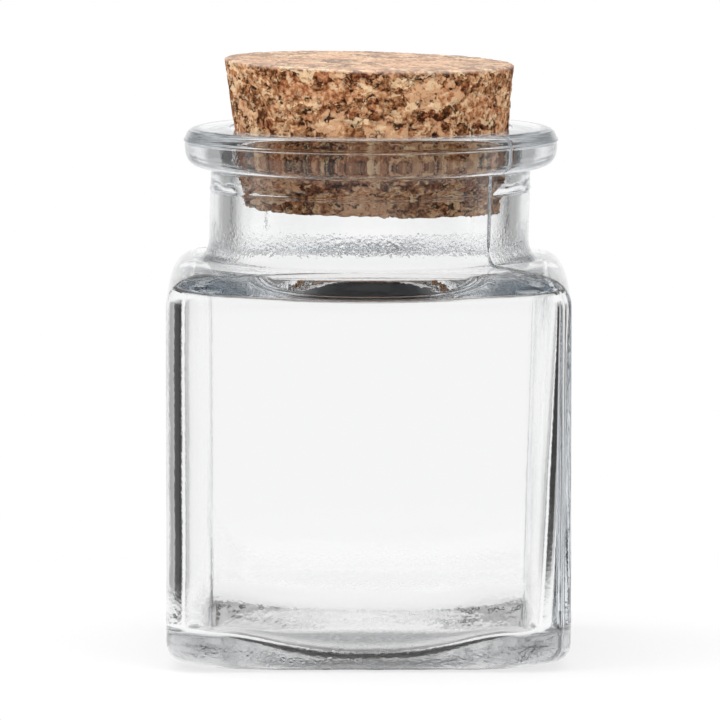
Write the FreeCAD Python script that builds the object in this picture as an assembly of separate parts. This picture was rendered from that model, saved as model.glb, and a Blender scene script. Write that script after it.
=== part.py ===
import FreeCAD, Part
import math
import os

# Square glass storage jar with a round neck, closed by a tapered cork stopper.
# Lengths are in millimetres and angles in degrees.
# The origin is the middle of the base, +Z is up and -Y is the front.

# Mouth, neck and lip of the jar
bore_diameter = 34.6
neck_wall = 2.7
neck_height = 16.6
lip_overhang = 3.3
lip_top_rounding = 2.0
mouth_rounding = 0.8

# Square body of the jar
shoulder_ledge = 5.0
body_height = 49.0
body_corner_radius = 4.4
heel_rounding = 3.0
bearing_width = 3.0
push_up_depth = 0.8

# Hollow of the jar
body_wall = 2.8
shoulder_wall = 2.8
base_wall = 2.6
cavity_corner_radius = 7.0
cavity_floor_rounding = 4.5

# Cork stopper
cork_length = 18.5
cork_stand = 8.3
cork_taper = 6.5
cork_lean = 1.4
cork_edge_rounding = 0.5
cork_clearance = 0.15

# Shares of the ledge, floor, corner or edge that each name goes with
lip_underside_share = 0.9
shoulder_rounding_share = 0.66
neck_foot_share = 0.32
ceiling_rounding_share = 0.6
throat_rounding_share = 0.3
floor_crown_share = 0.95
block_rounding_share = 0.9
level_share = 0.001

# How far a cutting solid reaches past the face that it opens
cut_overrun = 2.0

# Radii and heights that follow from the sizes above
bore_radius = bore_diameter / 2
neck_radius = bore_radius + neck_wall
lip_radius = neck_radius + lip_overhang
body_width = 2 * (neck_radius + shoulder_ledge)
jar_height = body_height + neck_height
cavity_width = body_width - 2 * body_wall
cavity_ceiling = body_height - shoulder_wall
inner_ledge = cavity_width / 2 - bore_radius
straight_bore_top = jar_height - mouth_rounding


def at(radius, height):
    """A point of an outline, at a distance from the jar's axis and a height above its base."""
    return FreeCAD.Vector(radius, 0, height)


def arc_edge(start, end, centre):
    """The shorter arc from start to end about a centre."""
    radius = (start - centre).Length
    bisector = (start - centre) + (end - centre)
    middle = centre + bisector.normalize() * radius
    return Part.Arc(start, middle, end).toShape()


def turned(outline):
    """A solid turned from steps, each a point and, where an arc leads to it, the arc's centre."""
    edges = []
    previous = outline[-1][0]
    for point, centre in outline:
        if centre is None:
            edges.append(Part.LineSegment(previous, point).toShape())
        else:
            edges.append(arc_edge(previous, point, centre))
        previous = point
    face = Part.Face(Part.Wire(edges))
    return face.revolve(FreeCAD.Vector(0, 0, 0), FreeCAD.Vector(0, 0, 1), 360)


def cap_outline(radius, height, level):
    """The steps of a shallow spherical cap, from its rim at a level to its crown on the axis."""
    sphere_radius = (radius ** 2 + height ** 2) / (2 * height)
    centre = at(0, level + height - sphere_radius)
    return [(at(radius, level), None), (at(0, level + height), centre)]


def edges_at(shape, level):
    """The edges of a shape that lie flat at a level."""
    flat = []
    for edge in shape.Edges:
        if all(abs(vertex.Z - level) < edge.Length * level_share for vertex in edge.Vertexes):
            flat.append(edge)
    return flat


def upright_edges(shape):
    """The straight vertical edges of a block."""
    upright = []
    for edge in shape.Edges:
        box = edge.BoundBox
        if box.ZLength > max(box.XLength, box.YLength):
            upright.append(edge)
    return upright


def rounded_block(width, corner_radius, low, high, low_rounding, high_rounding):
    """A square block between two levels, with rounded corners, foot and top."""
    block = Part.makeBox(width, width, high - low, FreeCAD.Vector(-width / 2, -width / 2, low))
    block = block.makeFillet(corner_radius, upright_edges(block))
    widest_rounding = block_rounding_share * corner_radius
    block = block.makeFillet(min(low_rounding, widest_rounding), edges_at(block, low))
    return block.makeFillet(min(high_rounding, widest_rounding), edges_at(block, high))


def neck_and_lip():
    """The round neck, flared where it meets the shoulder, with the thick lip around the mouth."""
    foot = neck_foot_share * shoulder_ledge
    underside = lip_underside_share * lip_overhang
    crease = lip_overhang - underside
    widest = jar_height - lip_top_rounding
    lip_low = widest - underside
    return turned(
        [
            (at(0, cavity_ceiling), None),
            (at(neck_radius + foot, cavity_ceiling), None),
            (at(neck_radius + foot, body_height), None),
            (at(neck_radius, body_height + foot), at(neck_radius + foot, body_height + foot)),
            (at(neck_radius, lip_low - crease), None),
            (at(neck_radius + crease, lip_low), at(neck_radius + crease, lip_low - crease)),
            (at(lip_radius, widest), at(neck_radius + crease, widest)),
            (at(lip_radius - lip_top_rounding, jar_height), at(lip_radius - lip_top_rounding, widest)),
            (at(0, jar_height), None),
        ]
    )


def bore():
    """The space inside the neck, eased at the mouth and where it opens into the body."""
    throat = throat_rounding_share * inner_ledge
    throat_top = cavity_ceiling + throat
    mouth_radius = bore_radius + mouth_rounding
    return turned(
        [
            (at(0, cavity_ceiling - cut_overrun), None),
            (at(bore_radius, cavity_ceiling - cut_overrun), None),
            (at(bore_radius, cavity_ceiling), None),
            (at(bore_radius + throat, cavity_ceiling), None),
            (at(bore_radius, throat_top), at(bore_radius + throat, throat_top)),
            (at(bore_radius, straight_bore_top), None),
            (at(mouth_radius, jar_height), at(mouth_radius, straight_bore_top)),
            (at(mouth_radius, jar_height + cut_overrun), None),
            (at(0, jar_height + cut_overrun), None),
        ]
    )


def cavity():
    """The space inside the body, with a floor that rises in the middle as the base does."""
    ceiling_rounding = ceiling_rounding_share * inner_ledge
    block = rounded_block(
        cavity_width, cavity_corner_radius, base_wall, cavity_ceiling, cavity_floor_rounding, ceiling_rounding
    )
    crown_radius = floor_crown_share * (cavity_width / 2 - cavity_floor_rounding)
    crown = cap_outline(crown_radius, push_up_depth, base_wall)
    below = base_wall - cut_overrun
    return block.cut(turned([(at(0, below), None), (at(crown_radius, below), None)] + crown))


def push_up():
    """The shallow hollow under the base, which leaves a flat ring for the jar to stand on."""
    radius = body_width / 2 - heel_rounding - bearing_width
    hollow = cap_outline(radius, push_up_depth, 0)
    return turned([(at(0, -cut_overrun), None), (at(radius, -cut_overrun), None)] + hollow)


def glass_jar():
    """The jar, one piece of moulded glass."""
    shoulder_rounding = shoulder_rounding_share * shoulder_ledge
    body = rounded_block(body_width, body_corner_radius, 0, body_height, heel_rounding, shoulder_rounding)
    jar = body.fuse(neck_and_lip())
    for hollow in (cavity(), bore(), push_up()):
        jar = jar.cut(hollow)
    return jar.removeSplitter()


def cork_stopper():
    """The stopper, a cone that wedges in the top of the straight bore and leans a little to one side."""
    slope = math.tan(math.radians(cork_taper))
    seat_radius = bore_radius - cork_clearance
    high = jar_height + cork_stand
    low = high - cork_length
    low_radius = seat_radius - (straight_bore_top - low) * slope
    high_radius = seat_radius + (high - straight_bore_top) * slope
    cork = Part.makeCone(low_radius, high_radius, cork_length, at(0, low))
    rims = edges_at(cork, low) + edges_at(cork, high)
    cork = cork.makeFillet(cork_edge_rounding, rims)
    cork.rotate(at(0, straight_bore_top), FreeCAD.Vector(0, 1, 0), cork_lean)
    return cork


os.makedirs("parts", exist_ok=True)
for make_piece in (glass_jar, cork_stopper):
    piece = make_piece()
    name = make_piece.__name__
    piece.exportStep(f"parts/{name}.step")
    print(name, "solids", len(piece.Solids), "valid", piece.isValid(), "volume", round(piece.Volume, 1))
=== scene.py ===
# %% [markdown]
# # A square glass jar with a cork stopper
# This lesson dresses a packed construction model in Blender. The model gives two bodies, the jar and its
# stopper, at their real size in metres. Every mesh made here sits in that same frame, so nothing is fitted
# by eye: sizes are read from the frame, or are written below in millimetres as such jars measure.

# %% Load the frame
import math

import bpy
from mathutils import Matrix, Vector


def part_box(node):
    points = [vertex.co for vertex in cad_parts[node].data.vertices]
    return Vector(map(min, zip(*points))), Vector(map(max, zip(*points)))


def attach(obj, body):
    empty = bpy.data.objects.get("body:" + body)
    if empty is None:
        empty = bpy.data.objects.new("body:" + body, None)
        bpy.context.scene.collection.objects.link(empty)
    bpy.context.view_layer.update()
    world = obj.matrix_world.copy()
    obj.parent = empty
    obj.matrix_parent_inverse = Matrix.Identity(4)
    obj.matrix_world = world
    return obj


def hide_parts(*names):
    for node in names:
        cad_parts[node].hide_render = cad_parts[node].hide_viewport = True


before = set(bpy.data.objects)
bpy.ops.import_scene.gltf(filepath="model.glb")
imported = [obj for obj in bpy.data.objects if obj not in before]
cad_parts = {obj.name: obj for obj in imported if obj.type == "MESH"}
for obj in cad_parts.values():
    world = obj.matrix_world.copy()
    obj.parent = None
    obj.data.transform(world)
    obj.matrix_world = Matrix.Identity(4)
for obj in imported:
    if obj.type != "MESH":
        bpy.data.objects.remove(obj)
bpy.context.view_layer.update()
MM = 0.001
scene = bpy.context.scene
jar_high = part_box("glass_jar")[1]
cork_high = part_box("cork_stopper")[1]
print("jar reaches", [round(v / MM, 2) for v in jar_high])
print("cork reaches", [round(v / MM, 2) for v in cork_high])

# %% [markdown]
# ## The camera
# The photograph is a long-lens product shot, taken from a little above. The parting lines around the lip and
# the neck are circles on the real jar, and how flat they look gives the camera's height for a distance of
# over a metre. A long lens far away keeps the square body square. The jar stands a few pixels right of the
# middle of the picture, so the whole camera is moved to the left by that much, and needs no lens shift.

# %% Place the camera
camera_distance = 1175.3 * MM
camera_height = 152.8 * MM
aim_height = 36.3 * MM
camera_side_step = -1.07 * MM
camera_lens = 471.2

camera = bpy.data.objects.new("camera", bpy.data.cameras.new("camera"))
scene.collection.objects.link(camera)
camera.data.lens = camera_lens
camera.location = (camera_side_step, -camera_distance, camera_height)
aim = Vector((camera_side_step, 0.0, aim_height))
camera.rotation_euler = (aim - camera.location).to_track_quat("-Z", "Y").to_euler()
scene.camera = camera
scene.view_settings.view_transform = "Standard"
down = math.degrees(math.atan2(camera_height - aim_height, camera_distance))
print("camera looks down by", round(down, 2), "degrees")

# %% [markdown]
# ## Node maths as Python sums
# Materials, lights and Geometry Nodes all need small sums, and a sum made of Math nodes is long to write and
# hard to read. A Wire holds one output socket and knows the operators, so that 1 - mask * 0.5 adds the nodes
# by itself. Any other node comes from its node method: the settings are set first, because some of them
# change which sockets there are, and then the sockets get their values or links.

# %% Define the wire
class Wire:
    """One output socket that can be written in a sum like a number."""

    def __init__(self, socket):
        self.socket = socket
        self.tree = socket.id_data

    def node(self, kind, settings=None, values=None):
        """Adds a node to the same tree and gives back its outputs by name."""
        made = self.tree.nodes.new(kind)
        for name, value in (settings or {}).items():
            if name == "stops":
                for extra in range(len(value) - 2):
                    made.color_ramp.elements.new(0.5)
                for element, (place, colour) in zip(made.color_ramp.elements, value):
                    element.position = place
                    element.color = (*colour, 1.0)
            else:
                setattr(made, name, value)
        for name, value in (values or {}).items():
            if isinstance(value, Wire):
                self.tree.links.new(value.socket, made.inputs[name])
            else:
                made.inputs[name].default_value = value
        return {socket.name: Wire(socket) for socket in made.outputs if socket.enabled}

    def maths(self, operation, *numbers):
        """A Math node with this wire first."""
        made = self.node("ShaderNodeMath", {"operation": operation}, dict(enumerate((self, *numbers))))
        return made["Value"]

    def between(self, low, high, out_low=0.0, out_high=1.0):
        """A smooth step from out_low at low to out_high at high."""
        values = {"Value": self, "From Min": low, "From Max": high, "To Min": out_low, "To Max": out_high}
        return self.node("ShaderNodeMapRange", {"interpolation_type": "SMOOTHSTEP"}, values)["Result"]

    def blend(self, first, second):
        """A colour that goes from first to second as this wire goes from 0 to 1."""
        values = {0: self, 6: first, 7: second}
        return self.node("ShaderNodeMix", {"data_type": "RGBA"}, values)["Result"]

    def vector(self, operation, other):
        """A Vector Math node with this wire first."""
        values = {0: self, "Scale" if operation == "SCALE" else 1: other}
        made = self.node("ShaderNodeVectorMath", {"operation": operation}, values)
        return made.get("Vector") or made["Value"]

    def __add__(self, other):
        return self.maths("ADD", other)

    __radd__ = __add__

    def __mul__(self, other):
        return self.maths("MULTIPLY", other)

    __rmul__ = __mul__

    def __sub__(self, other):
        return self.maths("SUBTRACT", other)

    def __rsub__(self, other):
        return (self * -1.0) + other

    def __truediv__(self, other):
        return self.maths("DIVIDE", other)

    def __rtruediv__(self, other):
        return self.maths("POWER", -1.0) * other

    def __pow__(self, other):
        return self.maths("POWER", other)


def start(tree, kind, output):
    """The first wire of a tree, from a node that needs no inputs."""
    return Wire(tree.nodes.new(kind).outputs[output])


print("wires know", [name for name in vars(Wire) if name.startswith("__r")])

# %% [markdown]
# ## The studio
# Clear glass has no colour of its own: it shows what stands around it, bent. Product photographers light it
# from white panels with dark gaps between them, and the gaps draw the dark lines along its edges. Glowing
# boards would do, but a world that depends on the direction alone does the same with nothing to place. The
# camera sees plain white. Rays that have been through glass, or off it, see a white panel behind the jar and
# one on each side, four dark gaps, a dim flank beside each gap, and a dimmer panel in front, nearly dark
# above the horizon. A dark ceiling lies over them and a white table under them. Matt surfaces get an even
# light.

# %% Set up the world
gap_light = 0.05
flank_light = 0.45
near_low = 0.5
near_high = 0.05
ceiling_front = 0.01
ceiling_back = 0.12
matt_light = 0.80
light_bounces = 32
# Limits along a unit direction: its turn from straight left or right, how far back and how high it points.
gap_opens = (0.225, 0.31)
gap_closes = (0.64, 0.71)
flank_opens = (0.30, 0.40)
flank_closes = (0.86, 0.97)
front_to_back = (-0.40, 0.20)
ceiling_front_to_back = (-0.25, 0.35)
table_edge = (-0.30, -0.16)
horizon = (-0.08, -0.01)
ceiling_edge = (0.10, 0.28)
scene.cycles.max_bounces = light_bounces
scene.cycles.transmission_bounces = light_bounces
scene.cycles.glossy_bounces = light_bounces

world = bpy.data.worlds.new("studio")
scene.world = world
world.use_nodes = True
sky = world.node_tree
direction = start(sky, "ShaderNodeTexCoord", "Generated")
axes = direction.node("ShaderNodeSeparateXYZ", None, {0: direction})
turn = axes["Y"].maths("ARCTAN2", axes["X"]).maths("SINE").maths("ABSOLUTE")
gap = turn.between(*gap_opens) * turn.between(*gap_closes, 1.0, 0.0)
flank = turn.between(*flank_opens) * turn.between(*flank_closes, 1.0, 0.0)
panels = 1.0 - (1.0 - flank_light) * flank
lift = axes["Z"]
near_panel = lift.between(*horizon, near_low, near_high)
panels = panels * axes["Y"].between(*front_to_back, near_panel, 1.0)
panels = panels * (1.0 - gap) + gap_light * gap
table = lift.between(*table_edge, 1.0, 0.0)
ceiling = lift.between(*ceiling_edge)
ceiling_light = axes["Y"].between(*ceiling_front_to_back, ceiling_front, ceiling_back)
seen = panels.maths("MAXIMUM", table) * (1.0 - ceiling) + ceiling_light * ceiling


def by_way_of_glass(wire):
    """Two wires: 1 for rays that came by glass or gloss alone, and 1 for rays straight from the camera."""
    path = wire.node("ShaderNodeLightPath")
    bent = path["Is Glossy Ray"].maths("MAXIMUM", path["Is Transmission Ray"])
    return bent * path["Diffuse Depth"].maths("LESS_THAN", 0.5), path["Is Camera Ray"]


through, straight_on = by_way_of_glass(direction)
world_light = through * seen + (1.0 - through) * matt_light
world_light = world_light.maths("MAXIMUM", straight_on)
sky.links.new(world_light.socket, sky.nodes["Background"].inputs["Strength"])
sky.nodes["Background"].inputs["Color"].default_value = (1.0, 1.0, 1.0, 1.0)
print("world nodes", len(sky.nodes))

# %% [markdown]
# ## The lamps
# An even light alone would leave the cork flat. A wide soft lamp above makes its top pale, and one on each
# side, the stronger on the left, gives its chips a lit and a shaded side. The glass shows the panels alone,
# not the lamps.

# %% Hang the lamps
# Place, width and depth in metres, and power in watts.
lamp_facts = {
    "overhead_lamp": ((-0.10, -0.10, 0.85), 1.5, 0.35, 3.8),
    "left_lamp": ((-0.85, -0.50, 0.45), 0.8, 0.8, 3.2),
    "right_lamp": ((0.85, -0.50, 0.45), 0.8, 0.8, 1.2),
}


def soft_lamp(name, place, wide, deep, power):
    """A soft lamp, wide from left to right, that looks at the middle of the jar."""
    lamp = bpy.data.objects.new(name, bpy.data.lights.new(name, "AREA"))
    scene.collection.objects.link(lamp)
    lamp.data.shape = "RECTANGLE"
    lamp.data.size = wide
    lamp.data.size_y = deep
    lamp.data.energy = power
    lamp.visible_transmission = False
    lamp.visible_glossy = False
    lamp.location = place
    middle = Vector((0.0, 0.0, jar_high.z / 2))
    lamp.rotation_euler = (middle - lamp.location).to_track_quat("-Z", "Y").to_euler()


for lamp_name, facts in lamp_facts.items():
    soft_lamp(lamp_name, *facts)
print("lamps", list(lamp_facts))

# %% [markdown]
# ## The floor
# The jar stands on a pale sweep. A disc is enough: it takes the soft shadow around the base, and its edge
# fades out into the white world, so that no horizon shows. It belongs to the stage, not to the object.

# %% Lay the floor
floor_radius = 110.0 * MM
floor_drop = 0.02 * MM
floor_sides = 96

floor_points = [(0.0, 0.0, 0.0)]
for side in range(floor_sides):
    turned = 2 * math.pi * side / floor_sides
    floor_points.append((floor_radius * math.cos(turned), floor_radius * math.sin(turned), 0.0))
floor_faces = [(0, side + 1, (side + 1) % floor_sides + 1) for side in range(floor_sides)]
floor_mesh = bpy.data.meshes.new("floor")
floor_mesh.from_pydata(floor_points, [], floor_faces)
floor = bpy.data.objects.new("floor", floor_mesh)
floor.location.z = -floor_drop
scene.collection.objects.link(floor)
print("floor of", floor_radius, "m")

# %% [markdown]
# ## The floor's paper
# A sweep is lit until it is nearly as white as the background, so plain white is mixed into the matt paper,
# and the rest takes the shadow. Little light gets in where the glass touches the paper, so a darker ring is
# painted there as a shadow; it shows only through the glass and draws the dark line along the base.

# %% Make the paper
paper_share = 0.7
paper_through_glass = 0.9
paper_white = (0.93, 0.93, 0.93, 1.0)
# Grey of the painted contact shadow, the ring where little light gets in under the glass.
painted_shadow_grey = (0.12, 0.12, 0.12, 1.0)
contact_inner = (17.5 * MM, 20.8 * MM)
contact_outer = (22.6 * MM, 23.4 * MM)
contact_sides = (16.5 * MM, 19.5 * MM)
contact_front_to_back = (-5.0 * MM, 5.0 * MM)
contact_back_share = 0.3
contact_squareness = 4.0
paper_fade = (55.0 * MM, 105.0 * MM)

sweep = bpy.data.materials.new("pale_sweep")
sweep.use_nodes = True
sweep_shader = sweep.node_tree.nodes["Principled BSDF"]
sweep_shader.inputs["Roughness"].default_value = 1.0
sweep_shader.inputs["Specular IOR Level"].default_value = 0.0
spot = start(sweep.node_tree, "ShaderNodeTexCoord", "Object")
away = spot.node("ShaderNodeVectorMath", {"operation": "LENGTH"}, {0: spot})["Value"]
through, straight_on = by_way_of_glass(spot)
spot_axes = spot.node("ShaderNodeSeparateXYZ", None, {0: spot})
aside = spot_axes["X"] ** contact_squareness + spot_axes["Y"] ** contact_squareness
aside = aside ** (1 / contact_squareness)
# A painted shadow: a darker ring in the paper's colour under the bearing ring, seen only through the glass.
painted_contact_shadow = aside.between(*contact_inner) * aside.between(*contact_outer, 1.0, 0.0) * through
painted_contact_shadow = painted_contact_shadow * spot_axes["X"].maths("ABSOLUTE").between(*contact_sides, 1.0, 0.0)
painted_contact_shadow = painted_contact_shadow * spot_axes["Y"].between(*contact_front_to_back, 1.0, contact_back_share)
paper_tone = painted_contact_shadow.blend(paper_white, painted_shadow_grey)
sweep.node_tree.links.new(paper_tone.socket, sweep_shader.inputs["Base Color"])
paper = spot.node("ShaderNodeEmission")["Emission"]
matt = Wire(sweep_shader.outputs["BSDF"])
white_share = (through * paper_through_glass + straight_on * paper_share) * (1.0 - painted_contact_shadow)
whitened = spot.node("ShaderNodeMixShader", None, {0: white_share, 1: matt, 2: paper})["Shader"]
clear = spot.node("ShaderNodeBsdfTransparent")["BSDF"]
faded = spot.node("ShaderNodeMixShader", None, {
    0: away.between(*paper_fade, 1.0, 0.0), 1: clear, 2: whitened})["Shader"]
sweep.node_tree.links.new(faded.socket, sweep.node_tree.nodes["Material Output"].inputs["Surface"])
floor_mesh.materials.append(sweep)
print("paper nodes", len(sweep.node_tree.nodes))

# %% [markdown]
# ## The jar's outline
# A moulded jar is a stack of level outlines: round at the lip and neck, a square with rounded corners in the
# body, and nearly round again under the base. A bevelled cube joined to a turned neck would need its join
# cleaned by hand. One rule covers all the outlines, a square of a half width and a corner radius, and a
# circle is the square whose corner radius is its half width. So the jar is made ring by ring, from the
# middle of its underside, up the outside, over the lip and down the inside to the floor. The same columns of
# points run through every ring, so the skin has no seams and closes by itself. They stand closer at the
# corners, where it bends.

# %% Define one ring of the jar
back_right = 45.0
back_left = 135.0
front_left = 225.0
front_right = 315.0
corner_steps = (0.0, 0.2, 0.45, 0.8, 1.4, 2.1, 2.9, 3.7, 4.5, 5.3, 6.1, 7.0, 8.0, 9.5, 11.25)
face_step = 2.25
face_steps = tuple(corner_steps[-1] + face_step * step for step in range(1, 16))


def reach(turned, half, corner):
    """How far a rounded square reaches from its middle in a direction, given in degrees."""
    fold = math.radians(abs((turned + 45.0) % 90.0 - 45.0))
    straight = half - corner
    if half * math.tan(fold) <= straight:
        return half / math.cos(fold)
    along = straight * (math.cos(fold) + math.sin(fold))
    return along + math.sqrt(max(0.0, along ** 2 - 2 * straight ** 2 + corner ** 2))


columns = []
for corner_turn in (back_right, back_left, front_left, front_right):
    for step in corner_steps + face_steps[:-1]:
        columns.append((corner_turn + step, step, corner_turn))
    for step in reversed(corner_steps[1:] + face_steps):
        columns.append((corner_turn - step, step, corner_turn))
columns.sort(key=lambda column: column[0] % 360.0)
print("columns around the jar", len(columns))

# %% [markdown]
# ## The jar's section, outside
# Each row of the list is one ring, in millimetres: half width, corner radius, height, and how far it belongs
# to the round neck, where the whole ring is turned by three degrees because the two halves of the mould meet
# a little past the corner there. Rows run straight from one to the next, or bend along a quarter of an
# ellipse, which gives every rounding: heel, shoulder, neck foot, lip and mouth. Thin beads mark where the
# parts of the mould met: above the heel, around the neck and on the lip.

# %% List the rings outside
body_half = jar_high.x / MM
jar_height = jar_high.z / MM
wall_corner = 4.4
push_up = 0.8
push_up_radius = 19.0
push_up_radii = (2.0, 5.0, 8.0, 11.0, 14.0, 16.5, 18.2)
bearing_half = 22.0
bearing_corner = 12.0
heel_height = 3.4
parting_height = 5.85
parting_half_width = 0.25
parting_bead = 0.05
shoulder_top = 49.25
shoulder_rounding = 3.3
neck_radius = 20.0
neck_foot_out = 1.65
neck_foot_up = 2.4
neck_foot_share = 0.6
ring_height = 58.05
ring_half_width = 0.22
ring_margin = 0.5
ring_rises = (-ring_half_width, -0.18, -0.12, -0.06, 0.0, 0.06, 0.12, 0.18, ring_half_width)
lip_foot = 60.3
lip_crease_out = 0.4
lip_crease_up = 0.35
lip_overhang = 3.3
lip_radius = neck_radius + lip_overhang
lip_rounding = 2.0
lip_widest = jar_height - lip_rounding
lip_squareness = 2.7
lip_bead = 0.17
lip_bead_rise = 0.5
lip_bead_half_width = 0.2
lip_rises = (0.12, 0.26, 0.32, 0.38, 0.44, 0.5, 0.56, 0.62, 0.68,
             0.74, 0.9, 1.15, 1.4, 1.6, 1.75, 1.86, 1.93, 1.98)


def mix(first, second, share):
    """The number that lies a share of the way from first to second."""
    return first + (second - first) * share


def round_row(radius, height, on_neck=1.0):
    """A row of a circle."""
    return (radius, radius, height, on_neck)


def square_row(half, corner, height):
    """A row of a rounded square of the body."""
    return (half, corner, height, 0.0)


def run(first, last, steps):
    """Rings in a straight run after the first row."""
    return [tuple(mix(a, b, step / steps) for a, b in zip(first, last)) for step in range(1, steps + 1)]


def bend(first, last, steps, level_first, squareness=2.0):
    """Rings along a quarter ellipse after the first row, which leaves it level or upright."""
    rows = []
    for step in range(1, steps + 1):
        quarter = math.pi / 2 * step / steps
        ahead = math.sin(quarter) ** (2 / squareness)
        rise = 1.0 - abs(math.cos(quarter)) ** (2 / squareness)
        if not level_first:
            ahead, rise = rise, ahead
        rows.append((mix(first[0], last[0], ahead), mix(first[1], last[1], ahead),
                     mix(first[2], last[2], rise), mix(first[3], last[3], ahead)))
    return rows


outside = []
for radius in push_up_radii:
    outside.append(round_row(radius, push_up * (1.0 - (radius / push_up_radius) ** 2), 0.0))
outside.append(round_row(push_up_radius, 0.0, 0.0))
outside += run(outside[-1], square_row(bearing_half, bearing_corner, 0.0), 4)
outside += bend(outside[-1], square_row(body_half, wall_corner, heel_height), 10, level_first=True)
outside += run(outside[-1], square_row(body_half, wall_corner, parting_height - parting_half_width), 2)
outside.append(square_row(body_half + parting_bead, wall_corner, parting_height))
wall_foot = square_row(body_half, wall_corner, parting_height + parting_half_width)
wall_top = square_row(body_half, wall_corner, shoulder_top - shoulder_rounding)
outside += run(wall_foot, wall_top, 30)
shoulder_edge = square_row(body_half - shoulder_rounding, wall_corner - shoulder_rounding, shoulder_top)
outside += bend(wall_top, shoulder_edge, 10, level_first=False)
outside += run(shoulder_edge, round_row(neck_radius + neck_foot_out, shoulder_top, neck_foot_share), 10)
outside += bend(outside[-1], round_row(neck_radius, shoulder_top + neck_foot_up), 8, level_first=True)
outside += run(outside[-1], round_row(neck_radius, ring_height - ring_margin), 6)
outside += [round_row(neck_radius, ring_height + rise) for rise in ring_rises]
outside += run(round_row(neck_radius, ring_height + ring_margin), round_row(neck_radius, lip_foot), 2)
lip_crease = round_row(neck_radius + lip_crease_out, lip_foot + lip_crease_up)
lip_side = round_row(lip_radius, lip_widest)
outside += bend(outside[-1], lip_crease, 3, level_first=False)
outside += bend(lip_crease, lip_side, 14, level_first=True, squareness=lip_squareness)
lip_level_radius = lip_radius - lip_rounding
for rise in lip_rises:
    level_share = (rise / lip_rounding) ** lip_squareness
    out = lip_level_radius + lip_rounding * (1.0 - level_share) ** (1 / lip_squareness)
    out += lip_bead * math.sqrt(max(0.0, 1.0 - ((rise - lip_bead_rise) / lip_bead_half_width) ** 2))
    outside.append(round_row(out, lip_widest + rise))
outside.append(round_row(lip_level_radius, jar_height))
print("rings outside", len(outside))

# %% [markdown]
# ## The jar's section, inside
# The shape of the inside decides where the dark bands fall. The mouth is rounded, and the bore runs straight
# down to the throat, where it eases into a cone that spreads to the ceiling. The cone's slope was chosen by
# trying: at this one, a dark band shows under the shoulder, as in the photograph. The floor has a low crown
# in the middle.

# %% List the rings inside, from the mouth to the floor
bore_radius = 17.3
mouth_rounding = 0.8
throat_out = 5.1
throat_slope = math.tan(math.radians(28.5))
throat_ease_out = 1.2
throat_ease_up = 3.4
ceiling_height = 45.8
ceiling_bend = 0.4
cavity_half = 23.2
cavity_corner = 4.5
floor_low = 1.9
floor_bend = 1.5
crown_radius = 17.0
crown_height = 1.5
crown_foot = 0.3
crown_radii = (14.5, 12.0, 9.5, 7.0, 4.5, 2.0)


def ease_through(first, middle, last, steps):
    """Rings along a curve that leaves the first row towards a middle one and ends at the last."""
    rows = []
    for step in range(1, steps + 1):
        share = step / steps
        rows.append(tuple(mix(mix(a, b, share), mix(b, c, share), share)
                          for a, b, c in zip(first, middle, last)))
    return rows


mouth = round_row(bore_radius + mouth_rounding, jar_height)
throat_top = ceiling_height + throat_out * throat_slope
throat_corner = round_row(bore_radius, throat_top)
cone_start = round_row(bore_radius + throat_ease_out, throat_top - throat_ease_out * throat_slope)
cone_end = round_row(bore_radius + throat_out, ceiling_height, neck_foot_share)
ceiling_rim = square_row(cavity_half - ceiling_bend, cavity_corner - ceiling_bend, ceiling_height)
wall_high = square_row(cavity_half, cavity_corner, ceiling_height - ceiling_bend)
wall_low = square_row(cavity_half, cavity_corner, floor_low + floor_bend)
floor_rim = square_row(cavity_half - floor_bend, cavity_corner, floor_low)
inside = run(outside[-1], mouth, 3)
inside += bend(mouth, round_row(bore_radius, jar_height - mouth_rounding), 5, level_first=True)
inside += run(inside[-1], round_row(bore_radius, throat_top + throat_ease_up), 10)
inside += ease_through(inside[-1], throat_corner, cone_start, 10)
inside += run(cone_start, cone_end, 8)
inside += run(cone_end, ceiling_rim, 8)
inside += bend(ceiling_rim, wall_high, 8, level_first=True)
inside += run(wall_high, wall_low, 30)
inside += bend(wall_low, floor_rim, 8, level_first=False)
inside += run(floor_rim, round_row(crown_radius, floor_low + crown_foot, 0.0), 9)
for radius in crown_radii:
    fall = (crown_height - crown_foot) * (radius / crown_radius) ** 2
    inside.append(round_row(radius, floor_low + crown_height - fall, 0.0))
print("rings inside", len(inside))

# %% [markdown]
# ## The rules of the skin
# No jar is as even as its drawing, and clear glass shows it. The shoulder falls away a little towards the
# corners, and inside, the ceiling and the floor rise there. The inner corners at the back are sharper than
# the front ones, but the left one rounds out towards the floor, and the right wall grows thicker downwards.
# The two halves of the mould met on the front right and the back left corner and left a fine raised line
# there, up the body, over the shoulder and up the neck. Each rule is a function of its own.

# %% Define the rules of the skin
shoulder_fall = 0.085
ceiling_rise = 0.07
level_radius = 21.6
upper_start = 30.0
upper_over = 14.0
corner_floor_rise = 2.4
corner_floor_radius = 21.0
corner_floor_over = 8.0
corner_floor_top = 12.0
corner_floor_fade = 8.0
back_corner_high = -2.3
back_corner_low = 4.5
back_foot_height = 2.0
back_foot_reach = 14.0
right_corner = -1.0
right_wall_high = -0.25
right_wall_low = 1.15
seam_turns = (back_left, front_right)
seam_height = 0.17
seam_half_width = 0.9
seam_start_over = 3.0
seam_turns_up = shoulder_top - 2.5
seam_turns_over = 2.0
seam_front_share = 1.6
seam_back_share = 0.5
ring_bead = 0.13
ring_mean_share = 0.7
ring_least_share = 0.2
long_dashes = 11
long_dash_share = 0.6
long_dash_turn = 0.8
short_dashes = 26
short_dash_share = 0.5


def near(height, middle, half_width):
    """1 at a height, falling to 0 at a distance from it."""
    return max(0.0, 1.0 - ((height - middle) / half_width) ** 2)


def ramp(value, begin, over):
    """0 up to where it begins, then an even rise to 1 over a distance."""
    return min(1.0, max(0.0, (value - begin) / over))


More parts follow.
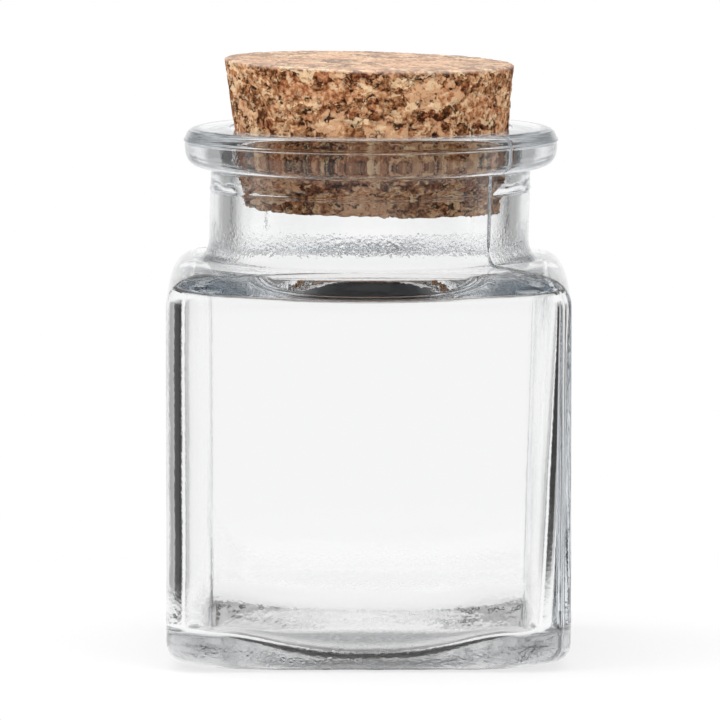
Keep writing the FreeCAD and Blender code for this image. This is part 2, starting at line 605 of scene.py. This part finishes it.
def inner_rounding(turned, corner_turn, height):
    """How much rounder the inside of a corner is than its row says."""
    if 0.0 < turned % 360.0 < 180.0:
        at_foot = near(height, back_foot_height, back_foot_reach) * (corner_turn == back_left)
        return mix(back_corner_high, back_corner_low, at_foot)
    return right_corner if corner_turn == front_right else 0.0


def slope_rise(out, height, on_neck, on_outside):
    """How far shoulder, ceiling or floor lies above its row, by the distance from the jar's axis."""
    if height > 0.5 * body_half:
        slope = -shoulder_fall if on_outside else ceiling_rise
        return slope * max(0.0, out - level_radius) * ramp(height, upper_start, upper_over) * (1.0 - on_neck)
    if on_outside:
        return 0.0
    up = ramp(out, corner_floor_radius, corner_floor_over)
    low_down = ramp(corner_floor_top - height, 0.0, corner_floor_fade)
    return corner_floor_rise * up * up * (3.0 - 2.0 * up) * low_down


def seam_bump(corner_turn, from_corner, height, on_neck):
    """How far the mould's raised line stands out, and how far up where it crosses the shoulder."""
    if corner_turn not in seam_turns or from_corner >= seam_half_width:
        return 0.0, 0.0
    bump = seam_height * (1.0 - (from_corner / seam_half_width) ** 2) ** 2
    bump *= ramp(height, 0.0, seam_start_over)
    upward = ramp(height, seam_turns_up, seam_turns_over) * (on_neck < 1.0)
    up_share = seam_front_share if corner_turn == front_right else seam_back_share
    return bump * (1.0 - upward), up_share * bump * upward


def ring_bump(height, angle):
    """How far the ring around the neck stands out, which the mould has broken into dashes."""
    from_ring = abs(height - ring_height) / ring_half_width
    long_wave = long_dash_share * math.sin(long_dashes * angle + long_dash_turn)
    broken = ring_mean_share + long_wave + short_dash_share * math.sin(short_dashes * angle)
    return ring_bead * min(1.0, max(ring_least_share, broken)) * max(0.0, 1.0 - from_ring ** 2)


print("seam corners at", seam_turns, "degrees")

# %% [markdown]
# ## The jar's skin
# The rings become points by these rules. The neck is turned by three degrees, and the lip sits a third of a
# millimetre to the right of the body, as the photograph shows. Three numbers are kept at each point: how far
# the inner skin waves there, how stippled the glass is, and how strongly the mould has rippled it, which is
# most at the heel, at the foot of the neck and on the lip.

# %% Build the skin
neck_turn = 3.0
lip_shift = 0.3
lip_shift_start = 50.0
lip_shift_over = 12.0
wave_end = 54.0
wave_over = 6.0
calm_share = 0.8
calm_height = 47.5
calm_reach = 4.0
stipple_top = 0.6
floor_stipple = 0.25
floor_stipple_top = 5.0
floor_middle_stipple = 0.2
floor_middle_peel = 0.3
plain_peel = 0.1
# Ripple zones: how strong, at which height and how far up and down.
heel_peel = (1.5, 1.2, 2.6)
foot_peel = (0.9, 51.0, 3.0)
lip_peel = (0.3, 62.6, 2.6)
throat_peel = (0.6, 51.5, 2.5)
floor_peel = (0.1, 2.0, 9.0)


def zone(height, strength, middle, half_width):
    """The strength of a zone at a height."""
    return strength * near(height, middle, half_width)


def ring_points(row, on_outside):
    """The points of one ring, in metres."""
    half, corner, height, on_neck = row
    points = []
    for turned, from_corner, corner_turn in columns:
        rounder = 0.0 if on_outside else inner_rounding(turned, corner_turn, height) * (1.0 - corner / half)
        out = reach(turned, half, corner + rounder)
        level = height + slope_rise(out, height, on_neck, on_outside)
        angle = math.radians(turned + neck_turn * on_neck)
        if on_outside:
            seam_out, seam_up = seam_bump(corner_turn, from_corner, height, on_neck)
            out += seam_out + ring_bump(height, angle)
            level += seam_up
        across = out * math.cos(angle)
        if not on_outside and across > 0.0:
            thicker = mix(right_wall_high, right_wall_low, 1.0 - height / ceiling_height)
            across *= 1.0 - thicker * (1.0 - on_neck) / cavity_half
        across += lip_shift * on_neck * ramp(height, lip_shift_start, lip_shift_over)
        points.append((across * MM, out * math.sin(angle) * MM, level * MM))
    return points


skin_points = [(0.0, 0.0, push_up * MM)]
waviness = [0.0]
stipple = [1.0]
peel_strength = [plain_peel]
around = len(columns)
for row in outside:
    height, on_neck = row[2:]
    skin_points += ring_points(row, True)
    waviness += [0.0] * around
    stipple += [max(0.0, 1.0 - height / stipple_top)] * around
    on_foot = zone(height, *foot_peel) * (on_neck > neck_foot_share)
    peel_strength += [plain_peel + on_foot + zone(height, *heel_peel) + zone(height, *lip_peel)] * around
for row in inside:
    height = row[2]
    skin_points += ring_points(row, False)
    calmed = 1.0 - calm_share * near(height, calm_height, calm_reach)
    waviness += [ramp(wave_end - height, 0.0, wave_over) * calmed] * around
    stipple += [floor_stipple * max(0.0, 1.0 - height / floor_stipple_top)] * around
    peel_strength += [plain_peel + zone(height, *throat_peel) + zone(height, *floor_peel)] * around
skin_points.append((0.0, 0.0, (floor_low + crown_height) * MM))
waviness.append(1.0)
stipple.append(floor_middle_stipple)
peel_strength.append(floor_middle_peel)
print("points of the skin", len(skin_points))

# %% [markdown]
# ## The skin's faces
# Four-sided faces join each ring to the next, and a fan of triangles closes each end in its middle.

# %% Close the skin
rings = len(outside) + len(inside)
skin_faces = []
for side in range(around):
    beside = (side + 1) % around
    skin_faces.append((0, 1 + beside, 1 + side))
    for ring in range(rings - 1):
        low = 1 + ring * around
        high = low + around
        skin_faces.append((low + side, low + beside, high + beside, high + side))
    last = 1 + (rings - 1) * around
    skin_faces.append((last + side, last + beside, len(skin_points) - 1))
jar_mesh = bpy.data.meshes.new("glass_jar_skin")
jar_mesh.from_pydata(skin_points, [], skin_faces)
for name, numbers in {"inside": waviness, "stippled": stipple, "peeled": peel_strength}.items():
    jar_mesh.attributes.new(name, "FLOAT", "POINT").data.foreach_set("value", numbers)
jar_mesh.shade_smooth()
jar = bpy.data.objects.new("jar_of_clear_glass", jar_mesh)
scene.collection.objects.link(jar)
print("jar skin faces", len(jar_mesh.polygons))

# %% [markdown]
# ## The clear glass
# Soda-lime glass bends light by 1.52 and has a faint cool grey tint, which only thick parts show. The tint
# is a plain volume absorption inside the glass. The skin carries the chill marks of the mould, so a very low
# bump breaks the reflections, and finer ripples are added where the mesh says so. The stippled underside is
# rougher in patches.

# %% Make the glass
glass_bending = 1.52
tint_colour = (0.85, 0.88, 0.905, 1.0)
tint_density = 25.0
chill_scale = 420.0
chill_height = 0.15
chill_roughness = 0.02
peel_scale = 2100.0
bump_depth = 0.05 * MM
patch_scale = 520.0
patch_edges = (0.38, 0.52)
patch_roughness = (0.12, 0.95)

glass = bpy.data.materials.new("clear_glass")
glass.use_nodes = True
glass_tree = glass.node_tree
glass_shader = glass_tree.nodes["Principled BSDF"]
glass_shader.inputs["Base Color"].default_value = (1.0, 1.0, 1.0, 1.0)
glass_shader.inputs["Transmission Weight"].default_value = 1.0
glass_shader.inputs["IOR"].default_value = glass_bending
where = start(glass_tree, "ShaderNodeTexCoord", "Object")
peeled = where.node("ShaderNodeAttribute", {"attribute_name": "peeled"})["Fac"]
stippled = where.node("ShaderNodeAttribute", {"attribute_name": "stippled"})["Fac"]


def skin_noise(scale, detail):
    """A noise over the skin."""
    return where.node("ShaderNodeTexNoise", None, {"Vector": where, "Scale": scale, "Detail": detail})["Fac"]


chill = skin_noise(chill_scale, 2.0)
peel = skin_noise(peel_scale, 1.0)
patchy = skin_noise(patch_scale, 2.0).between(*patch_edges, *patch_roughness)
glass_bump = where.node("ShaderNodeBump", None, {
    "Strength": 1.0, "Distance": bump_depth, "Height": chill * chill_height + peel * peeled})["Normal"]
glass_tree.links.new(glass_bump.socket, glass_shader.inputs["Normal"])
roughness = chill * chill_roughness + stippled * patchy
glass_tree.links.new(roughness.socket, glass_shader.inputs["Roughness"])
tint = glass_tree.nodes.new("ShaderNodeVolumeAbsorption")
tint.inputs["Color"].default_value = tint_colour
tint.inputs["Density"].default_value = tint_density
glass_tree.links.new(tint.outputs["Volume"], glass_tree.nodes["Material Output"].inputs["Volume"])
print("glass nodes", len(glass_tree.nodes))

# %% [markdown]
# ## Geometry Nodes from a script
# A few helpers are enough for this jar: one opens a tree with its named inputs, one closes it with the
# material, and one runs it on an object and keeps the result as a plain mesh. Two small ones read a number
# that was kept at the points, and move the points.

# %% Define the helpers for node trees
def node_group(name, inputs):
    """A Geometry Nodes tree with named inputs, its first wires, and the identifiers of the inputs."""
    tree = bpy.data.node_groups.new(name, "GeometryNodeTree")
    tree.interface.new_socket("Geometry", in_out="INPUT", socket_type="NodeSocketGeometry")
    tree.interface.new_socket("Geometry", in_out="OUTPUT", socket_type="NodeSocketGeometry")
    keys = {}
    for label, value in inputs.items():
        made = tree.interface.new_socket(label, in_out="INPUT", socket_type="NodeSocketFloat")
        made.default_value = value
        keys[label] = made.identifier
    entry = tree.nodes.new("NodeGroupInput")
    return tree, {socket.name: Wire(socket) for socket in entry.outputs if socket.name}, keys


def close_group(geometry, material):
    """Ends a tree: instances made real, smooth faces, the material, and the output."""
    real = geometry.node("GeometryNodeRealizeInstances", None, {"Geometry": geometry})["Geometry"]
    smooth = real.node("GeometryNodeSetShadeSmooth", None, {"Geometry": real})["Geometry"]
    dressed = smooth.node("GeometryNodeSetMaterial", None, {
        "Geometry": smooth, "Material": material})["Geometry"]
    out = geometry.tree.nodes.new("NodeGroupOutput")
    geometry.tree.links.new(dressed.socket, out.inputs["Geometry"])


def bake_nodes(thing, tree, keys, sizes):
    """Runs a tree on an object and keeps the result as its plain mesh."""
    modifier = thing.modifiers.new(tree.name, "NODES")
    modifier.node_group = tree
    for label, value in sizes.items():
        modifier[keys[label]] = value
    seen_by = bpy.context.evaluated_depsgraph_get()
    made = bpy.data.meshes.new_from_object(thing.evaluated_get(seen_by))
    thing.modifiers.remove(modifier)
    thing.data = made
    return made


def kept_number(wire, name):
    """A number that was kept at each point under a name."""
    return wire.node("GeometryNodeInputNamedAttribute", {"data_type": "FLOAT"}, {"Name": name})["Attribute"]


def set_points(geometry, **values):
    """Moves the points of a mesh to a position or by an offset."""
    return geometry.node("GeometryNodeSetPosition", None, {"Geometry": geometry, **values})["Geometry"]


print("helpers", node_group.__name__, close_group.__name__, bake_nodes.__name__)

# %% [markdown]
# ## The waves of the inner skin
# The inside of a jar is shaped by a plunger and by air, so it is never quite flat, and that is what makes
# clear glass look like glass. A Geometry Nodes tree moves each point along its normal by a slow noise: by
# the full wave height inside the body, and by a small share of it outside. The stippled underside gets
# shallow dents as well.

# %% Wave the glass
wave_sizes = {"Wave Height": 0.13 * MM, "Wave Length": 17.0 * MM, "Outside Share": 0.10,
              "Base Depth": 0.22 * MM, "Base Length": 3.6 * MM, "Seed": 4.0}
wave_tree, wave, wave_keys = node_group("glass_waves", wave_sizes)
here = start(wave_tree, "GeometryNodeInputPosition", "Position")
normal = start(wave_tree, "GeometryNodeInputNormal", "Normal")


def wave_noise(length, detail):
    """A noise with the tree's seed, whose swells are about as long as an input says."""
    return here.node("ShaderNodeTexNoise", {"noise_dimensions": "4D"}, {
        "Vector": here, "W": wave["Seed"], "Scale": 1.0 / wave[length], "Detail": detail})["Fac"]


wave_share = wave["Outside Share"] + kept_number(here, "inside") * (1.0 - wave["Outside Share"])
swell = (wave_noise("Wave Length", 1.0) - 0.5) * 2.0 * wave["Wave Height"] * wave_share
dents = wave_noise("Base Length", 2.0) * kept_number(here, "stippled") * wave["Base Depth"]
close_group(set_points(wave["Geometry"], Offset=normal.vector("SCALE", swell - dents)), glass)
bake_nodes(jar, wave_tree, wave_keys, wave_sizes)
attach(jar, "jar")
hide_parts("glass_jar")
print("jar after waves", [round(v / MM, 2) for v in jar.dimensions])

# %% [markdown]
# ## What the cork is made of
# The stopper is cut from a block of cork chips pressed together with glue. Large chips lie among clusters of
# small ones, each with its own tone and its own grain, with dark cracks and holes where they don't quite
# meet. The relief of the mesh and the colours of the material have to agree on where each chip is, so one
# function builds the pattern in either kind of node tree: Voronoi cells on a gently warped space, large and
# small. Each cell's random colour gives its tone and the way its grain runs, and cracks open at its edge.

# %% Define the chips of the cork
large_chip = 3.0
small_chip = 1.35
large_edges = (0.54, 0.56)
chip_flatness = (0.8, 0.8, 1.3)
# Bends of the space: how long, how finely divided and how far.
slow_bend = (1.7, 3.0, 2.4)
quick_bend = (0.45, 2.0, 0.7)
grain_width = 0.32
grain_stretch = 2.2
grain_spread = 90.0
fine_size = 0.55
crack_width = 0.16
crack_raggedness = 0.5
open_size = 1.6
open_edges = (0.40, 0.62)
pore_size = 1.15
pore_edges = (0.59, 0.66)
split_size = 1.0
split_width = 0.16
split_patch_size = 1.1
split_edges = (0.46, 0.60)
flake_size = 1.2
flake_edges = (0.56, 0.64)
flake_place = (31.0, 17.0, 5.0)
middle_grey = (0.5, 0.5, 0.5)


def voronoi(place, feature, size):
    """Cells of about a size in millimetres."""
    values = {"Vector": place, "Scale": 1.0 / size, "Randomness": 1.0}
    return place.node("ShaderNodeTexVoronoi", {"feature": feature, "voronoi_dimensions": "3D"}, values)


def noise(place, size, detail=2.0):
    """A soft noise whose blotches are about a size in millimetres."""
    return place.node("ShaderNodeTexNoise", None, {"Vector": place, "Scale": 1.0 / size, "Detail": detail})


def shift(place, size, detail, far):
    """A vector that pushes a place about, by up to about half of far."""
    return noise(place, size, detail)["Color"].vector("SUBTRACT", middle_grey).vector("SCALE", far)


def chips(place, size):
    """Tone, a second random number, grain and distance to the edge of chips of one size."""
    cells = voronoi(place, "F1", size)
    random = place.node("ShaderNodeSeparateXYZ", None, {0: cells["Color"]})
    edge = voronoi(place, "DISTANCE_TO_EDGE", size)["Distance"] * size
    lean = cells["Color"].vector("SUBTRACT", middle_grey)
    along = place.vector("DOT_PRODUCT", lean) * grain_stretch
    strip = along.node("ShaderNodeCombineXYZ", None, {
        0: along, 1: random["X"] * grain_spread, 2: 0.0})["Vector"]
    return random["X"], random["Y"], noise(strip, grain_width, 3.0)["Fac"], edge


def cork_chips(metres):
    """The chips at a place given in metres: tone, warmth, grain, hollows, splits, flakes and fine noise."""
    place = metres.vector("SCALE", 1 / MM)
    bent = place.vector("ADD", shift(place, *slow_bend)).vector("ADD", shift(place, *quick_bend))
    bent = bent.vector("MULTIPLY", chip_flatness)
    large, large_warm, large_grain, large_edge = chips(bent, large_chip)
    small, small_warm, small_grain, small_edge = chips(bent, small_chip)
    is_large = large_warm.between(*large_edges)
    is_small = 1.0 - is_large
    edge = is_large * large_edge + is_small * small_edge
    fine = noise(place, fine_size, 5.0)["Fac"]
    open_here = noise(place, open_size)["Fac"].between(*open_edges)
    ragged_edge = edge + (fine - 0.5) * crack_raggedness
    crack = ragged_edge.between(0.0, crack_width, 1.0, 0.0) * open_here
    pore = noise(bent, pore_size, 4.0)["Fac"].between(*pore_edges)
    flecks = voronoi(bent, "DISTANCE_TO_EDGE", split_size)["Distance"].between(0.0, split_width, 1.0, 0.0)
    return {
        "tone": is_large * large + is_small * small,
        "warm": is_large * large + is_small * small_warm,
        "grain": is_large * large_grain + is_small * small_grain,
        "hollow": crack.maths("MAXIMUM", pore),
        "split": flecks * noise(place, split_patch_size)["Fac"].between(*split_edges),
        "flake": noise(bent.vector("ADD", flake_place), flake_size, 3.0)["Fac"].between(*flake_edges),
        "fine": fine,
    }


print("chips of", small_chip, "and", large_chip, "mm")

# %% [markdown]
# ## The cork's finish
# The tones run from dark brown through reddish brown to light tan, as the chips in the photograph do. Cracks
# and holes are dark because little light comes out of them, and the fresh cut of each chip has a fine grain.
# The top was sanded flat: dust half fills its holes. The top is also painted paler, partly for that dust
# and partly as a painted sheen of the light that grazes it.

# %% Make the cork
tan_tones = [(0.0, (0.09, 0.030, 0.010)), (0.3, (0.33, 0.140, 0.058)),
             (0.65, (0.58, 0.30, 0.145)), (1.0, (0.90, 0.63, 0.38))]
red_tones = [(0.0, (0.075, 0.020, 0.006)), (0.35, (0.30, 0.100, 0.040)),
             (0.7, (0.52, 0.215, 0.095)), (1.0, (0.74, 0.43, 0.24))]
warm_edges = (0.35, 0.65)
flake_tone = (0.90, 0.65, 0.40, 1.0)
flake_share = 0.7
split_tone = (0.10, 0.035, 0.014, 1.0)
split_share = 0.2
hollow_tone = (0.024, 0.007, 0.002, 1.0)
hollow_share = 0.92
dust_share = 0.55
sanded_dust_and_sheen_tone = (0.88, 0.785, 0.69, 1.0)
sanded_dust_and_sheen_share = 0.30
mean_shade = 0.60
shade_shares = {"tone": 1.05, "grain": 1.7, "fine": 2.3}
cork_bump_strength = 0.6
cork_bump_depth = 0.12 * MM
cork_roughness = 0.85
cork_gloss = 0.12

cork = bpy.data.materials.new("pressed_cork")
cork.use_nodes = True
cork_tree = cork.node_tree
cork_shader = cork_tree.nodes["Principled BSDF"]
spot = start(cork_tree, "ShaderNodeTexCoord", "Object")
found = cork_chips(spot)
shade = mean_shade
for kind, strength in shade_shares.items():
    shade = shade + (found[kind] - 0.5) * strength
light = shade.node("ShaderNodeValToRGB", {"stops": tan_tones}, {0: shade})["Color"]
ruddy = shade.node("ShaderNodeValToRGB", {"stops": red_tones}, {0: shade})["Color"]
chip_colour = found["warm"].between(*warm_edges).blend(light, ruddy)
chip_colour = (found["flake"] * flake_share).blend(chip_colour, flake_tone)
chip_colour = (found["split"] * split_share).blend(chip_colour, split_tone)
sanded = spot.node("ShaderNodeAttribute", {"attribute_name": "sanded"})["Fac"]
cork_colour = (found["hollow"] * (hollow_share - dust_share * sanded)).blend(chip_colour, hollow_tone)
# The top is painted paler: partly sanding dust, partly a painted sheen of the grazing light.
cork_colour = (sanded * sanded_dust_and_sheen_share).blend(cork_colour, sanded_dust_and_sheen_tone)
cork_tree.links.new(cork_colour.socket, cork_shader.inputs["Base Color"])
cork_bump = spot.node("ShaderNodeBump", None, {
    "Strength": cork_bump_strength, "Distance": cork_bump_depth,
    "Height": found["fine"] + found["grain"]})["Normal"]
cork_tree.links.new(cork_bump.socket, cork_shader.inputs["Normal"])
cork_shader.inputs["Roughness"].default_value = cork_roughness
cork_shader.inputs["Specular IOR Level"].default_value = cork_gloss
print("cork nodes", len(cork_tree.nodes))

# %% [markdown]
# ## The stopper's blank
# The stopper follows a simple rule, a cone with eased edges, so it is grown in Geometry Nodes from the cone
# primitive. A sculpted cone would look as good, but could not be resized by its inputs. The side is divided
# into cells of about a quarter of a millimetre, and the ends into rings less than half a millimetre apart,
# which is fine enough to press the chips' edges into. The wedge is what holds a real cork in its mouth.

# %% Start the stopper from a cone
cork_length = 18.5
cork_stand = 8.3
cork_slope = math.tan(math.radians(6.5))
cork_clearance = 0.15
seat_height = jar_height - mouth_rounding
seat_radius = bore_radius - cork_clearance
cork_top = jar_height + cork_stand
cork_foot = cork_top - cork_length
cork_columns = 400
cork_rows = 72
cork_end_rings = 40
cork_sizes = {
    "Top Radius": (seat_radius + (cork_top - seat_height) * cork_slope) * MM,
    "Foot Radius": (seat_radius - (seat_height - cork_foot) * cork_slope) * MM,
    "Length": cork_length * MM,
    "Edge Ease": 0.5 * MM,
    "Foot Height": cork_foot * MM,
    "Seat Height": seat_height * MM,
    "Axis Slant": -math.tan(math.radians(1.3)),
    "Level Slant": -math.tan(math.radians(1.4)),
    "Side Step": 0.3 * MM,
    "Hollow Depth": 0.40 * MM,
    "Chip Step": 0.22 * MM,
    "Crumbled Foot": 0.6 * MM,
}
stopper_tree, size, stopper_keys = node_group("cork_stopper", cork_sizes)
blank = size["Length"].node("GeometryNodeMeshCone", {"fill_type": "TRIANGLE_FAN"}, {
    "Vertices": cork_columns, "Side Segments": cork_rows, "Fill Segments": cork_end_rings,
    "Radius Top": size["Top Radius"], "Radius Bottom": size["Foot Radius"], "Depth": size["Length"]})["Mesh"]
print("stopper inputs", list(cork_sizes))

# %% [markdown]
# ## Its eased edges
# A bevel could round both rims, but would break up the even cells. Instead, the points near a rim are moved
# onto a quarter circle, and the cells stay. Two numbers are kept for later: how far a point belongs to the
# sanded top, and how near it is to the crumbling edge of the foot.

# %% Ease the edges
sanded_depth = 0.6 * MM
crumbling_reach = 2.0 * MM
least_radius = 1e-6

at_point = start(stopper_tree, "GeometryNodeInputPosition", "Position")
parts = at_point.node("ShaderNodeSeparateXYZ", None, {0: at_point})
out_from_axis = (parts["X"] * parts["X"] + parts["Y"] * parts["Y"]).maths("SQRT")
up_share = parts["Z"] / size["Length"]
side_radius = size["Foot Radius"] + (size["Top Radius"] - size["Foot Radius"]) * up_share
from_side = side_radius - out_from_axis
from_top = size["Length"] - parts["Z"]
ease = size["Edge Ease"]
near_side = (ease - from_side).maths("MAXIMUM", 0.0)
near_end = (ease - parts["Z"].maths("MINIMUM", from_top)).maths("MAXIMUM", 0.0)
reach_in = (near_side * near_side + near_end * near_end).maths("SQRT").maths("MAXIMUM", ease * 0.5)
pull = ease / reach_in - 1.0
spread = (out_from_axis + near_side * pull) / out_from_axis.maths("MAXIMUM", least_radius)
is_top = up_share.maths("GREATER_THAN", 0.5) * 2.0 - 1.0
eased_at = at_point.node("ShaderNodeCombineXYZ", None, {
    0: parts["X"] * spread, 1: parts["Y"] * spread, 2: parts["Z"] + near_end * pull * is_top})["Vector"]


def keep(geometry, name, value):
    """Keeps a number at each point, for the material or a later step to read."""
    return geometry.node("GeometryNodeStoreNamedAttribute", {"data_type": "FLOAT", "domain": "POINT"}, {
        "Geometry": geometry, "Name": name, "Value": value})["Geometry"]


marked = keep(blank, "sanded", from_top.between(0.0, sanded_depth, 1.0, 0.0))
marked = keep(marked, "foot", (parts["Z"] + from_side).between(0.0, crumbling_reach, 1.0, 0.0))
eased = set_points(marked, Position=eased_at)
print("stopper nodes so far", len(stopper_tree.nodes))

# %% [markdown]
# ## Its seat in the mouth
# A cork is never pushed in quite straight. It leans by a degree or so and stands a little off the middle, so
# the blank is slanted about the height where it touches the glass.

# %% Seat the stopper
unset = start(stopper_tree, "GeometryNodeInputPosition", "Position")
blank_axes = unset.node("ShaderNodeSeparateXYZ", None, {0: unset})
above_seat = blank_axes["Z"] + size["Foot Height"] - size["Seat Height"]
slanted = unset.node("ShaderNodeCombineXYZ", None, {
    0: blank_axes["X"] + size["Side Step"] + above_seat * size["Axis Slant"],
    1: blank_axes["Y"],
    2: blank_axes["Z"] + size["Foot Height"] + blank_axes["X"] * size["Level Slant"]})["Vector"]
seated = set_points(eased, Position=slanted)
print("stopper nodes so far", len(stopper_tree.nodes))

# %% [markdown]
# ## Its chips
# The same pattern that colours the cork now presses its cracks and holes in along the normals, and sets each
# chip a little lower or higher than the next. The sanded top stays nearly flat, and crumbs have broken off
# along the edge of the foot.

# %% Press the chips
crumb_size = 1.5
crumb_edges = (0.44, 0.60)
sanded_flatness = 0.75

seated_at = start(stopper_tree, "GeometryNodeInputPosition", "Position")
facing = start(stopper_tree, "GeometryNodeInputNormal", "Normal")
relief = cork_chips(seated_at)
crumbs = noise(seated_at.vector("SCALE", 1 / MM), crumb_size)["Fac"].between(*crumb_edges)
press = relief["hollow"] * size["Hollow Depth"] + relief["tone"] * size["Chip Step"]
press = press * (1.0 - sanded_flatness * kept_number(seated_at, "sanded"))
press = press + kept_number(seated_at, "foot") * crumbs * size["Crumbled Foot"]
close_group(set_points(seated, Offset=facing.vector("SCALE", press * -1.0)), cork)
stopper = bpy.data.objects.new("cork_stopper_of_chips", bpy.data.meshes.new("cork_stopper_of_chips"))
scene.collection.objects.link(stopper)
stopper_mesh = bake_nodes(stopper, stopper_tree, stopper_keys, cork_sizes)
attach(stopper, "stopper")
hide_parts("cork_stopper")
print("stopper faces", len(stopper_mesh.polygons), [round(v / MM, 2) for v in stopper.dimensions])
